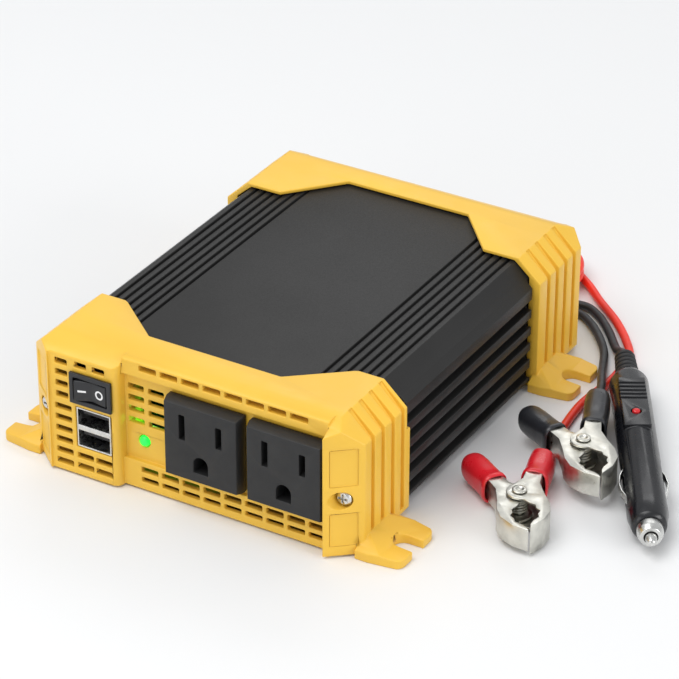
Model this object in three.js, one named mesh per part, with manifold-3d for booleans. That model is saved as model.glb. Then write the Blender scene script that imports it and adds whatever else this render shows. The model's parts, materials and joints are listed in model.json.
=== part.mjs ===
// A small power inverter: a finned aluminium body between two yellow end caps, with two outlets,
// a twin USB socket, a rocker switch, a fan, and a captive set of 12 V leads.
// Millimetres, +Z up, +X along the front panel, +Y to the rear, origin at the bottom centre.

import * as THREE from 'three';
import { mergeVertices } from 'three/addons/utils/BufferGeometryUtils.js';
import Module from 'manifold-3d';

const wasm = await Module();
wasm.setup();

// ---- driving dimensions ----
const GAP = 0.3; // clearance between separate pieces
const CAP_HALF = 57.4; // half the width over the cap ribs
const CAP_TOP = 45.2;
const CAP_BOTTOM = 0.6;
const CAP_SHOULDER = { x: 49.5, z: 37.9 }; // where the sloping shoulder meets the top and the side
const FACE = 76.5; // distance of the corner blocks' faces from the centre
const BAND = 72.5; // face of the vented band
const PANEL = 70.8; // face of the panel that the outlets stand on
const PANEL_LEFT = -23.6; // left end of that panel
const PORT_FACE = 75.5; // face of the section with the switch and the USB socket
const PORT_CORNER = 2.4; // radius where that section turns in to the panel
const REAR_PANEL = 73.5;
const WALL = 1.8; // thickness of the front and rear walls
const BODY = { half: 55.4, top: 43.6, bottom: 2.3, shoulderX: 48.2, shoulderZ: 36.8, end: 62.5 };
const BODY_MILLED_HALF = 53; // half width where the fins are cut back under the caps
const FIN_GROOVES = [[29.3, 32.7], [23.0, 26.2], [17.3, 20.2], [11.2, 14.4], [4.6, 8.1]];
const FIN_GROOVE_FLOOR = 51.5;
const TOP_GROOVE = { first: 31.35, pitch: 2.93, count: 6, width: 1.2, depth: 1.1 };
const RIB_GROOVE = { first: 46.2, pitch: 5.8, count: 4, width: 2, depth: 1.5 };
const SCREW = { x: 51.7, z: 19.5, head: 2.6, shank: 1.15 };
const FOOT = { reach: 70.5, rootHalf: 11.5, tipHalf: 7.6, tipHeight: 2.8, slotWidth: 6.5, slotEnd: 62.4 };
const FRONT_FOOT_Y = -60;
const REAR_FOOT_Y = 48.5;
const OUTLET = { first: 5.8, pitch: 28.5, half: 12.4, flare: 0.7, face: 76, bottom: 12.1, top: 37, back: 54 };
const SWITCH = { x0: -39.8, x1: -24.9, z0: 26.6, z1: 37.2, pivotY: -74.2, tilt: 6 };
const USB = { x0: -38.9, x1: -26.1, z0: 10.5, z1: 24.8 };
const LED = { x: -17.3, z: 16.7, radius: 1.75 };
const FAN = { x: 28, z: 23, half: 17.5, bore: 16.4, y0: 59.5, y1: 69.5, hub: 7 };
const LEAD = 2.8; // diameter of all three leads
const GLAND_Z = 14;
const FLOOR = LEAD / 2 + 0.2; // height of the middle of a lead that lies on the floor
const COIL = { radius: 14, y: 101, layers: 3, across: 2 };
const PLUG = { start: [76.9, 62.8], angle: -59.6, axisZ: 6.5, radius: 6.2 };
const CLIPS = [
  { name: 'red', at: [87.6, -29.5, 0], angle: -53.7, grip: 0xd21f2b, boot: 30, leadHeight: 3.9 },
  { name: 'black', at: [92.7, 1.9, 2.6], angle: -47.4, grip: 0x1d1e22, boot: 36, leadHeight: 6.5 },
];

// ---- materials ----
const paint = (color, roughness, metalness) => (
  new THREE.MeshStandardMaterial({ color, roughness, metalness })
);
const YELLOW = paint(0xf2c14b, 0.5, 0);
const ALUMINIUM = paint(0x3c3b3a, 0.45, 0.7);
const BLACK = paint(0x1b1c1f, 0.5, 0);
const CHARCOAL = paint(0x35363a, 0.55, 0);
const STEEL = paint(0xc9cac6, 0.3, 1);
const BRASS = paint(0xc8a24a, 0.35, 1);
const GREEN = paint(0x2fe04a, 0.3, 0);
const BOARD = paint(0x1f6a3c, 0.6, 0);
const FERRITE = paint(0x2c2c2e, 0.7, 0.1);
const COPPER = paint(0xb4652e, 0.4, 0.9);
const RED = paint(0xd21f2b, 0.5, 0);

// ---- solids ----
const degrees = (angle) => (angle * Math.PI) / 180;

function toSolid(geometry) {
  const bare = geometry.index ? geometry.clone() : geometry;
  bare.deleteAttribute('normal');
  bare.deleteAttribute('uv');
  const merged = mergeVertices(bare, 1e-4);
  return new wasm.Manifold(new wasm.Mesh({
    numProp: 3,
    vertProperties: new Float32Array(merged.attributes.position.array),
    triVerts: new Uint32Array(merged.index.array),
  }));
}

function toGeometry(solid) {
  const mesh = solid.getMesh();
  const geometry = new THREE.BufferGeometry();
  geometry.setAttribute('position', new THREE.BufferAttribute(new Float32Array(mesh.vertProperties), 3));
  geometry.setIndex(new THREE.BufferAttribute(new Uint32Array(mesh.triVerts), 1));
  geometry.computeVertexNormals();
  return geometry;
}

const shapeOf = (points) => new THREE.Shape(points.map(([a, b]) => new THREE.Vector2(a, b)));

// An outline in x and y, raised from z0 to z1.
function raised(points, z0, z1) {
  const geometry = new THREE.ExtrudeGeometry(shapeOf(points), { depth: z1 - z0, bevelEnabled: false });
  return toSolid(geometry.translate(0, 0, z0));
}

// An outline in x and z, drawn out from y0 to y1.
function drawn(points, y0, y1) {
  const geometry = new THREE.ExtrudeGeometry(shapeOf(points), { depth: y1 - y0, bevelEnabled: false });
  return toSolid(geometry.rotateX(Math.PI / 2).translate(0, y1, 0));
}

// An outline in y and z, drawn out from x0 to x1.
function drawnAcross(points, x0, x1) {
  const geometry = new THREE.ExtrudeGeometry(shapeOf(points), { depth: x1 - x0, bevelEnabled: false });
  return toSolid(geometry.rotateX(Math.PI / 2).rotateZ(Math.PI / 2).translate(x0, 0, 0));
}

function box(x0, x1, y0, y1, z0, z1) {
  const geometry = new THREE.BoxGeometry(x1 - x0, y1 - y0, z1 - z0);
  return toSolid(geometry.translate((x0 + x1) / 2, (y0 + y1) / 2, (z0 + z1) / 2));
}

const arc = (x, y, radius, from, to, steps) => (
  Array.from({ length: steps + 1 }, (_, i) => {
    const a = degrees(from + ((to - from) * i) / steps);
    return [x + radius * Math.cos(a), y + radius * Math.sin(a)];
  })
);
const circle = (x, y, radius, sides = 24) => arc(x, y, radius, 0, 360 - 360 / sides, sides - 1);
const rectangle = (x0, x1, y0, y1) => [[x0, y0], [x1, y0], [x1, y1], [x0, y1]];
const roundedRectangle = (x0, x1, y0, y1, r, steps = 4) => [
  ...arc(x1 - r, y0 + r, r, -90, 0, steps),
  ...arc(x1 - r, y1 - r, r, 0, 90, steps),
  ...arc(x0 + r, y1 - r, r, 90, 180, steps),
  ...arc(x0 + r, y0 + r, r, 180, 270, steps),
];
const mirrored = (points) => points.map(([a, b]) => [-a, b]).reverse();

function joined(first, ...others) {
  return others.reduce((sum, other) => sum.add(other), first);
}

function cut(solid, ...tools) {
  return tools.reduce((rest, tool) => rest.subtract(tool), solid);
}

// A turned piece about Z, from [radius, height] points that start and end on the axis.
function turned(points, sides = 24) {
  return new THREE.LatheGeometry(points.map(([r, h]) => new THREE.Vector2(r, h)), sides)
    .rotateX(Math.PI / 2);
}

const object = new THREE.Group();

function add(name, solidOrGeometry, material, parent = object) {
  const geometry = solidOrGeometry.isBufferGeometry ? solidOrGeometry : toGeometry(solidOrGeometry);
  const mesh = new THREE.Mesh(geometry, material);
  mesh.name = name;
  parent.add(mesh);
  return mesh;
}

// ---- aluminium body ----
function bodyOutline() {
  const { half, top, bottom, shoulderX, shoulderZ } = BODY;
  const right = [[half - 1, bottom], [half, bottom + 1]];
  [...FIN_GROOVES].reverse().forEach(([z0, z1]) => {
    right.push([half, z0], [FIN_GROOVE_FLOOR, z0], [FIN_GROOVE_FLOOR, z1], [half, z1]);
  });
  right.push([half, shoulderZ], [shoulderX, top]);
  for (let i = TOP_GROOVE.count - 1; i >= 0; i -= 1) {
    const x = TOP_GROOVE.first + i * TOP_GROOVE.pitch;
    const [outer, inner] = [x + TOP_GROOVE.width / 2, x - TOP_GROOVE.width / 2];
    const floor = top - TOP_GROOVE.depth;
    right.push([outer, top], [outer - 0.2, floor], [inner + 0.2, floor], [inner, top]);
  }
  return [...right, ...mirrored(right)];
}

function makeBody() {
  const { end } = BODY;
  const full = drawn(bodyOutline(), -end, end);
  const hollow = drawn(roundedRectangle(-49.5, 49.5, 4.4, 41.4, 2), -end - 1, end + 1);
  let body = full.subtract(hollow);
  [-1, 1].forEach((side) => {
    const port = [SCREW.x - 5, SCREW.x + 0.4].map((x) => x * side).sort((a, b) => a - b);
    body = body.add(box(port[0], port[1], -end, end, SCREW.z - 3, SCREW.z + 3));
    [-1, 1].forEach((way) => {
      const [start, stop] = way > 0 ? [38.8, end + 1] : [-end - 1, -41];
      const fins = box(BODY_MILLED_HALF, 60, start, stop, 0, 42);
      body = body.subtract(side > 0 ? fins : fins.mirror([1, 0, 0]));
      const y = way * (end - 6);
      body = body.subtract(drawn(circle(side * SCREW.x, SCREW.z, 1.5, 12), y - 7, y + 7));
    });
  });
  return body;
}
add('body_extrusion', makeBody(), ALUMINIUM);

// ---- end caps ----
const capSection = [
  [CAP_HALF - 1.6, CAP_BOTTOM], [CAP_HALF, CAP_BOTTOM + 1.6],
  [CAP_HALF, CAP_SHOULDER.z], [CAP_SHOULDER.x, CAP_TOP],
];
const capCavity = [[53.4, 1.9], [53.4, 39.3], [48.1, 43.95]];

// A slot through a front or rear wall.
const slot = (x0, x1, z0, z1, y0, y1) => box(x0, x1, y0, y1, z0, z1);

// A foot that reaches out sideways and slopes down to its tip, with a screw slot open to the outside.
function foot(y, side) {
  const { reach, rootHalf, tipHalf, tipHeight, slotWidth, slotEnd } = FOOT;
  const root = CAP_HALF - WALL;
  const plan = [
    [root, y - rootHalf], [60, y - rootHalf], ...arc(reach - 3, y - tipHalf, 3, -60, 0, 3),
    ...arc(reach - 3, y + tipHalf, 3, 0, 60, 3), [60, y + rootHalf], [root, y + rootHalf],
  ];
  const gap = [
    [reach + 1, y - slotWidth / 2], [reach + 1, y + slotWidth / 2],
    ...arc(slotEnd + slotWidth / 2, y, slotWidth / 2, 90, 270, 8),
  ];
  const elevation = [
    [root, 0], [reach, 0], [reach, tipHeight], [64, tipHeight + 0.5], [CAP_HALF, 6.4], [root, 6.4],
  ];
  const section = [
    [y - rootHalf, 0], [y + rootHalf, 0], [y + rootHalf, 3], [y + 5.5, 6.6], [y - 5.5, 6.6], [y - rootHalf, 3],
  ];
  const plate = raised(plan, 0, 8).intersect(drawn(elevation, y - 20, y + 20))
    .intersect(drawnAcross(section, root, reach));
  const solid = plate.subtract(raised(gap, -1, 9));
  return side > 0 ? solid : solid.mirror([1, 0, 0]);
}

// The rib grooves round one shoulder and side, between y0 and y1.
function ribGroove(y0, y1) {
  const { depth } = RIB_GROOVE;
  const clear = 70;
  const outline = [
    [clear, 3.5], [clear, 60], [CAP_SHOULDER.x, 60], [CAP_SHOULDER.x, CAP_TOP],
    [CAP_SHOULDER.x - 0.4, CAP_TOP - 0.6], [CAP_HALF - depth, CAP_SHOULDER.z - 0.9], [CAP_HALF - depth, 3.5],
  ];
  return drawn(outline, y0, y1);
}

// The shell that both caps share: face at -FACE, open end at sideEdge.
function capShell(plan, lip, sideEdge) {
  const section = [...capSection, ...mirrored(capSection)];
  let shell = raised(plan, -1, 60).intersect(drawn(section, -FACE - 1, sideEdge));
  const cavity = [...capCavity, ...mirrored(capCavity)];
  shell = shell.subtract(drawn(cavity, -BODY.end - 2 * GAP, 0));
  shell = shell.subtract(raised(lip, 30, 60));
  for (let i = 0; i < RIB_GROOVE.count; i += 1) {
    const y = -(RIB_GROOVE.first + i * RIB_GROOVE.pitch);
    const groove = ribGroove(y - RIB_GROOVE.width / 2, y + RIB_GROOVE.width / 2);
    shell = cut(shell, groove, groove.mirror([1, 0, 0]));
  }
  return shell;
}

// The corner blocks: a deep screw hole and two sunk panels on each angled face.
function cornerDetails(shell) {
  let rest = shell;
  [-1, 1].forEach((side) => {
    const well = drawn(circle(side * SCREW.x, SCREW.z, 2.95, 20), -FACE - 1, -69.5);
    const hole = drawn(circle(side * SCREW.x, SCREW.z, 1.5, 12), -70, -60);
    rest = cut(rest, well, hole);
    const turn = side * 41.1;
    [[24.4, 36.8], [4, 15]].forEach(([z0, z1]) => {
      const panel = new THREE.BoxGeometry(8.4, 0.8, z1 - z0)
        .rotateZ(degrees(turn)).translate(side * 52.6, -72.3, (z0 + z1) / 2);
      rest = rest.subtract(toSolid(panel));
    });
  });
  return rest;
}

function makeFrontCap() {
  const plan = [
    [-CAP_HALF, -41.9], [-CAP_HALF, -68.3], [-47.7, -FACE], [-47.7, -PORT_FACE],
    ...arc(PANEL_LEFT - PORT_CORNER, -PORT_FACE + PORT_CORNER, PORT_CORNER, -90, 0, 4),
    [PANEL_LEFT, -BAND], [47.7, -BAND], [47.7, -FACE], [CAP_HALF, -68.3], [CAP_HALF, -41.9],
  ];
  const lip = [
    [-60, -43.8], [-41, -43.8], [-39.8, -44.4], [-23, -58.2],
    [23, -58.2], [39.8, -44.4], [41, -43.8], [60, -43.8], [60, 0], [-60, 0],
  ];
  let cap = capShell(plan, lip, -42);
  // front slopes of the top
  const slope = [[-68.5, CAP_TOP + 0.01], [-78, 40.4], [-78, 50], [-68.5, 50]];
  cap = cut(cap, drawnAcross(slope, -60, PANEL_LEFT), drawnAcross(slope, 47.7, 60));
  const brow = [[-71, CAP_TOP + 0.01], [-73, 44.3], [-73, 50], [-71, 50]];
  cap = cut(cap, drawnAcross(brow, PANEL_LEFT, 47.7));
  // the outlet panel, set back below the vented band
  cap = cut(cap, box(PANEL_LEFT, 47.7, -BAND - 1, -PANEL, 10.2, 39.4));
  // behind the panel, the vented band and the section with the ports
  cap = cut(
    cap,
    box(PANEL_LEFT + WALL, 46.5, -PANEL + WALL, -BODY.end, 3, 42.4),
    box(PANEL_LEFT + WALL, 46.5, -BAND + WALL, -BODY.end, 3, 9),
    box(-46.5, PANEL_LEFT - WALL, -PORT_FACE + WALL, -BODY.end, 3, 39.6),
  );
  cap = cornerDetails(cap);
  const [y0, y1] = [-80, -60];
  const rows = [];
  for (let i = 0; i < 8; i += 1) rows.push([-17.5 + i * 7.45, 6, 41.9, 1.9]);
  for (let row = 0; row < 4; row += 1) {
    const z = 33.7 - row * 3.87;
    rows.push([-22.7, 5.5, z, 1.9], [-15.5, 5.5, z, 1.9]);
    rows.push([-45.6, 4.3, 37.9 - row * 3.85, 2]);
  }
  for (let column = 0; column < 9; column += 1) {
    rows.push([-17.6 + column * 7.3, 5.9, 6.6, 1.9], [-17.6 + column * 7.3, 5.9, 3.2, 1.7]);
  }
  for (let row = 0; row < 6; row += 1) rows.push([-46.2, 5.9, 22 - row * 3.86, 2]);
  rows.push([-38.5, 4.1, 38.3, 2], [-32.2, 4.3, 38.3, 2]);
  [6.6, 2.9].forEach((z) => rows.push([-38.7, 5.8, z, 2], [-32, 5.8, z, 2]));
  rows.forEach(([x, width, z, height]) => {
    cap = cap.subtract(slot(x, x + width, z, z + height, y0, y1));
  });
  cap = cut(
    cap,
    box(SWITCH.x0 + 0.8, SWITCH.x1 - 0.8, y0, y1, SWITCH.z0 + 0.8, SWITCH.z1 - 0.8),
    box(USB.x0, USB.x1, y0, y1, USB.z0, USB.z1),
    drawn(circle(LED.x, LED.z, LED.radius + 0.3, 20), y0, y1),
  );
  [0, 1].forEach((i) => {
    const x = OUTLET.first + i * OUTLET.pitch;
    cap = cap.subtract(box(x - 11.9, x + 11.9, y0, y1, 12.6, 36.5));
  });
  return joined(cap, foot(FRONT_FOOT_Y, 1), foot(FRONT_FOOT_Y, -1));
}
add('front_cap', makeFrontCap(), YELLOW);

function makeRearCap() {
  const plan = [
    [-CAP_HALF, -39.9], [-CAP_HALF, -68.3], [-47.7, -FACE], [-47.7, -REAR_PANEL],
    [47.7, -REAR_PANEL], [47.7, -FACE], [CAP_HALF, -68.3], [CAP_HALF, -39.9],
  ];
  const lip = [
    [-60, -35.5], [-39.5, -37.2], [-22, -57.8], [22, -57.8], [39.5, -37.2], [60, -35.5],
    [60, 0], [-60, 0],
  ];
  let cap = capShell(plan, lip, -40);
  const slope = [[-66, CAP_TOP + 0.01], [-78, 39], [-78, 50], [-66, 50]];
  cap = cornerDetails(cut(cap, drawnAcross(slope, -60, 60)));
  cap = cut(cap, box(-46.5, 46.5, -REAR_PANEL + WALL, -BODY.end, 3, 40.5));
  cap = cap.mirror([0, 1, 0]);
  const [y0, y1] = [60, 80];
  const grille = drawn(circle(FAN.x, FAN.z, FAN.bore - 0.6, 32), y0, y1);
  for (let row = 0; row < 8; row += 1) {
    const z = FAN.z - 15.4 + row * 4;
    const bars = joined(slot(FAN.x - 17, FAN.x - 0.9, z, z + 2.8, y0, y1),
      slot(FAN.x + 0.9, FAN.x + 17, z, z + 2.8, y0, y1));
    cap = cap.subtract(bars.intersect(grille));
  }
  for (let row = 0; row < 5; row += 1) {
    for (let column = 0; column < 4; column += 1) {
      const [x, z] = [-44 + column * 7.4, 22 + row * 3.4];
      cap = cap.subtract(slot(x, x + 5.8, z, z + 1.9, y0, y1));
    }
  }
  leads.forEach(({ glandX }) => {
    cap = cap.subtract(drawn(circle(glandX, GLAND_Z, 3.2, 20), y0, y1));
  });
  return joined(cap, foot(REAR_FOOT_Y, 1), foot(REAR_FOOT_Y, -1));
}

// ---- leads: from a gland in the rear cap, through a coil, to a clip or the plug ----
const leads = [
  {
    name: 'red_lead', material: RED, coilX: 24.5, glandX: 9.1, turn: -1,
    out: [[43.2, 105.6], [50.6, 98.4], [61.4, 88.8], [69.4, 79.6], [74.4, 72], [75.8, 65],
      [76.4, 58], [76.3, 52], [75.4, 45], [74.8, 37], [75.4, 28], [77, 18], [79.4, 9.4], [80.6, 5]],
  },
  {
    name: 'black_lead', material: BLACK, coilX: -51, glandX: -35.6, turn: 1,
    out: [[-44, 82.4], [-34, 79.8], [-20, 78.6], [0, 78.6], [18, 78.6], [30, 79.4], [38, 83],
      [44, 87], [49, 87.2], [54.6, 83.6], [61.2, 76.8], [66.4, 69.6], [69.8, 62.4]],
  },
  {
    name: 'plug_lead', material: BLACK, coilX: -15.5, glandX: -0.1, turn: 1,
    out: [[-6.6, 83.9], [2, 82.3], [14, 82], [26, 82], [33, 83.8], [38.6, 88], [43.6, 92],
      [49, 92.6], [54.6, 89.4], [62, 82], [67.2, 75.4]],
  },
];
add('rear_cap', makeRearCap(), YELLOW);

function tube(points, closedEnds = true) {
  const curve = new THREE.CatmullRomCurve3(points.map((p) => new THREE.Vector3(...p)), false, 'centripetal');
  const steps = Math.min(80, Math.max(4, Math.round(curve.getLength() / (2.4 * LEAD))));
  return new THREE.ExtrudeGeometry(shapeOf(circle(0, 0, LEAD / 2, 8)), {
    steps, extrudePath: curve, bevelEnabled: false, closedEnds,
  });
}

// ---- outlets ----
for (let i = 0; i < 2; i += 1) {
  const side = ['left', 'right'][i];
  const x = OUTLET.first + i * OUTLET.pitch;
  const { half, flare, face, bottom, top, back } = OUTLET;
  const base = half + flare;
  const front = raised([
    [x - base, -PANEL - GAP], [x + base, -PANEL - GAP], [x + base, -PANEL - 2.4],
    [x + half, -face], [x - half, -face], [x - base, -PANEL - 2.4],
  ], bottom - flare, top + flare);
  const bevel = drawnAcross([
    [-PANEL - GAP, bottom - flare], [-PANEL - GAP, top + flare], [-PANEL - 2.4, top + flare],
    [-face, top], [-face, bottom], [-PANEL - 2.4, bottom - flare],
  ], x - 20, x + 20);
  const stem = box(x - 11.6, x + 11.6, -PANEL - 1, -back, 12.9, 36.2);
  const ground = [[x - 2.5, 15.2], [x + 2.5, 15.2], ...arc(x, 18.4, 2.5, 0, 180, 8)];
  const holes = [
    box(x - 6.35 - 1, x - 6.35 + 1, -face - 1, -back - 4, 25.25, 33.75),
    box(x + 6.35 - 1, x + 6.35 + 1, -face - 1, -back - 4, 25.9, 33.1),
    drawn(ground, -face - 1, -back - 4),
  ];
  add(`outlet_${side}`, cut(front.intersect(bevel).add(stem), ...holes), CHARCOAL);
  const contact = (offset, z, height) => {
    return box(x + offset - 0.3, x + offset + 0.3, -face + 8, -back - 4.5, z, z + height);
  };
  add(`outlet_${side}_neutral_contact`, contact(-5.75, 26.2, 6.6), BRASS);
  add(`outlet_${side}_hot_contact`, contact(6.95, 26.6, 5.8), BRASS);
}

// ---- USB socket ----
{
  const { x0, x1, z0, z1 } = USB;
  const [left, right, low, high] = [x0 + GAP, x1 - GAP, z0 + GAP, z1 - GAP];
  const middle = (low + high) / 2;
  let shell = box(left, right, -PORT_FACE + GAP, -58, low, high);
  shell = cut(shell, box(left + 0.5, right - 0.5, -80, -60, low + 0.5, middle - 0.9),
    box(left + 0.5, right - 0.5, -80, -60, middle + 0.9, high - 0.5));
  add('usb_shell', shell, STEEL);
  [[low + 0.5, 'lower'], [middle + 0.9, 'upper']].forEach(([z, name]) => {
    const tongue = box(left + 1.2, right - 1.2, -73.4, -60.4, z + 3.1, z + 4.6);
    const root = box(left + 0.8, right - 0.8, -62, -60.4, z + 0.4, z + 5);
    add(`usb_tongue_${name}`, tongue.add(root), BLACK);
  });
}

// ---- rocker switch ----
{
  const { x0, x1, z0, z1, pivotY } = SWITCH;
  const flange = box(x0, x1, -PORT_FACE - 1.4, -PORT_FACE - GAP, z0, z1);
  const stem = box(x0 + 1.1, x1 - 1.1, -PORT_FACE - 1, -61, z0 + 1.1, z1 - 1.1);
  const pocket = box(x0 + 1.5, x1 - 1.5, -PORT_FACE - 3, -70.5, z0 + 1.5, z1 - 1.5);
  add('switch_frame', flange.add(stem).subtract(pocket), BLACK);
  const [middle, half] = [(x0 + x1) / 2, (x1 - x0) / 2 - 1.9];
  const outline = [
    [-half, -2.9], [-half + 0.3, -3.2], [-0.6, -2.1], [0.6, -2.1], [half - 0.3, -3.2],
    [half, -2.9], [half - 0.9, -0.2], [1.6, 1.6], [-1.6, 1.6], [-half + 0.9, -0.2],
  ];
  const rocker = raised(outline, -3.4, 3.4);
  const mesh = add('switch_rocker', rocker, BLACK);
  mesh.rotation.z = degrees(SWITCH.tilt);
  mesh.position.set(middle, pivotY, (z0 + z1) / 2);
}

// ---- indicator ----
{
  const lens = turned([[0, 0], [LED.radius, 0], [LED.radius, 4.4], [1.3, 5.1], [0, 5.5]], 14);
  const mesh = add('led_lens', lens, GREEN);
  mesh.rotation.x = degrees(90);
  mesh.position.set(LED.x, -66.4, LED.z);
}

// ---- cap screws ----
[['front', -1], ['rear', 1]].forEach(([end, way]) => {
  [['left', -1], ['right', 1]].forEach(([side, hand]) => {
    const { head, shank } = SCREW;
    const recess = 1.1;
    const profile = [
      [0, -9], [shank, -8.2], [shank, 0], [head, 0], [head, 0.9], [head - 0.7, 1.7], [0.01, 1.9], [0, 1.9],
    ];
    let screw = toSolid(turned(profile, 14));
    [0, 90].forEach((angle) => {
      const slit = new THREE.BoxGeometry(3, 0.6, 2 * recess).rotateZ(degrees(angle)).translate(0, 0, 1.9);
      screw = screw.subtract(toSolid(slit));
    });
    const mesh = add(`cap_screw_${end}_${side}`, screw, STEEL);
    mesh.rotation.x = degrees(way < 0 ? 90 : -90);
    mesh.position.set(hand * SCREW.x, way * (69.5 + GAP), SCREW.z);
  });
});

// ---- electronics inside the body ----
add('main_board', box(-44, 44, -50, 52, 7.4, 9), BOARD);
{
  const core = drawn(rectangle(-30, -4, 9.4, 33), -18, 4);
  const windows = [drawn(rectangle(-26, -19.6, 13.4, 29), -19, 5), drawn(rectangle(-14.4, -8, 13.4, 29), -19, 5)];
  add('transformer_core', cut(core, ...windows), FERRITE);
  const winding = raised(roundedRectangle(-25.4, -8.6, -23.6, 9.6, 3), 14, 28.4);
  add('transformer_winding', winding.subtract(box(-20, -14, -18.4, 4.4, 0, 40)), COPPER);
}
[-1, 1].forEach((way, i) => {
  const can = turned([[0, 0], [5, 0], [5, 19], [4.2, 20], [0, 20]], 20);
  const mesh = add(`capacitor_${i + 1}`, can, CHARCOAL);
  mesh.position.set(8, 6 + way * 8, 9.4);
});
add('transistor_row', raised(rectangle(35, 38.6, -30, 34), 9.4, 27), BLACK);
add('heat_spreader', raised(rectangle(39, 45.8, -34, 38), 11, 26), ALUMINIUM);
add('blade_fuse', drawn([[20, 9.4], [32, 9.4], [32, 20], [29, 23], [23, 23], [20, 20]], 36, 40.5), RED);

// ---- fan ----
{
  const { x, z, half, bore, y0, y1, hub } = FAN;
  let frame = box(x - half, x + half, y0, y1, z - half, z + half);
  frame = frame.subtract(drawn(circle(x, z, bore, 28), y0 - 1, y1 + 1));
  frame = frame.add(drawn(circle(x, z, hub + 1, 24), y1 - 1.5, y1));
  [45, 135].forEach((angle) => {
    const strut = new THREE.BoxGeometry(2 * bore + 1, 1.5, 2).rotateY(degrees(angle));
    frame = frame.add(toSolid(strut.translate(x, y1 - 0.75, z)));
  });
  add('fan_frame', frame, BLACK);
  let rotor = drawn(circle(0, 0, hub, 24), y0 + 0.8, y1 - 2);
  for (let i = 0; i < 7; i += 1) {
    const blade = new THREE.BoxGeometry(bore - hub - 0.1, 0.9, 6).rotateX(degrees(38))
      .translate((bore + hub) / 2 - 0.6, (y0 + y1) / 2 - 0.8, 0).rotateY((i * 2 * Math.PI) / 7);
    rotor = rotor.add(toSolid(blade));
  }
  const mesh = add('fan_rotor', rotor, BLACK);
  mesh.position.set(x, 0, z);
}

// ---- battery clips ----
const CLIP = { scale: 0.9, low: 1, high: 12, sheet: 0.9, tip: 21.5, pinHole: 1.8 };
const HANDLE = { slope: degrees(20.6), offset: 2.6, grip: 30, pocket: 29.1, pocketHalf: 4.1 };

// A point on a handle's line, that far from the pivot, with a sideways offset.
const onHandle = (distance, aside = 0) => [
  -distance * Math.cos(HANDLE.slope) + aside * Math.sin(HANDLE.slope),
  HANDLE.offset + distance * Math.sin(HANDLE.slope) + aside * Math.cos(HANDLE.slope),
];

// One jaw's outer edge, from the handle's end to the tip, for the half on the +y side.
const clipOuter = [
  [-26, 15.2], [-10, 9.2], [-4, 7.4], [3, 8], [8, 8.8], [13, 8.2], [18, 4.9], [CLIP.tip, 0.3],
];

function clipInner() {
  const teeth = [];
  for (let i = 0; i <= 8; i += 1) {
    const t = i / 8;
    const u = 19.6 - 14.6 * t;
    const v = 0.6 + 4.3 * Math.sin(Math.PI * t) ** 0.8 - (i % 2 ? 0.8 : 0);
    teeth.push([u, Math.max(0.35, v)]);
  }
  return [...teeth, ...arc(0, 0, 4.5, -20, -160, 7), [-7.5, 2.2], [-24.2, 9.2]];
}

// A pressed channel: two side plates joined by a web along the outer edge.
function clipJaw(low, high) {
  const { sheet, pinHole } = CLIP;
  const outline = raised([...clipOuter, ...clipInner()], low, high);
  const inset = clipOuter.map(([u, v], i) => (
    [u + (i === clipOuter.length - 1 ? -1.6 : 0), v - sheet - (i > 5 ? 0.5 : 0)]
  ));
  const pocket = raised([[-40, inset[0][1] + 5], ...inset.slice(1), [20, -12], [-40, -12]],
    low + sheet, high - sheet);
  const pin = raised(circle(0, 0, pinHole, 16), low - 1, high + 1);
  return cut(outline, pocket, pin);
}

// The plastic sleeve over a handle, rounded at its far end.
function clipGrip(low, high, end, leadHeight) {
  const outline = [
    onHandle(11, -4.6), onHandle(11, 4.6), onHandle(end - 4, 4.4), onHandle(end - 1.4, 3.6),
    onHandle(end, 2.4), onHandle(end, -2.4), onHandle(end - 1.4, -3.6), onHandle(end - 4, -4.4),
  ];
  const { pocket, pocketHalf } = HANDLE;
  const room = [[5, -1], [5, 1], [pocket, 1], [pocket, -1]].map(([along, way]) => (
    onHandle(along, way * pocketHalf)
  ));
  let grip = raised(outline, low, high).subtract(raised(room, low + 0.7, high - 0.7));
  if (leadHeight) {
    const hole = new THREE.CylinderGeometry(LEAD / 2 + 0.6, LEAD / 2 + 0.6, end, 12)
      .rotateZ(Math.PI / 2 - HANDLE.slope).translate(...onHandle(end), leadHeight);
    grip = grip.subtract(toSolid(hole));
  }
  return grip;
}

function clipWorld({ at, angle }, [u, v, w]) {
  return new THREE.Vector3(u, v, w).multiplyScalar(CLIP.scale)
    .applyAxisAngle(new THREE.Vector3(0, 0, 1), degrees(angle))
    .add(new THREE.Vector3(...at)).toArray();
}

// Where a lead enters a clip's boot.
const clipEntry = (clip) => clipWorld(clip, [...onHandle(clip.boot + 0.5), clip.leadHeight]);

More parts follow.
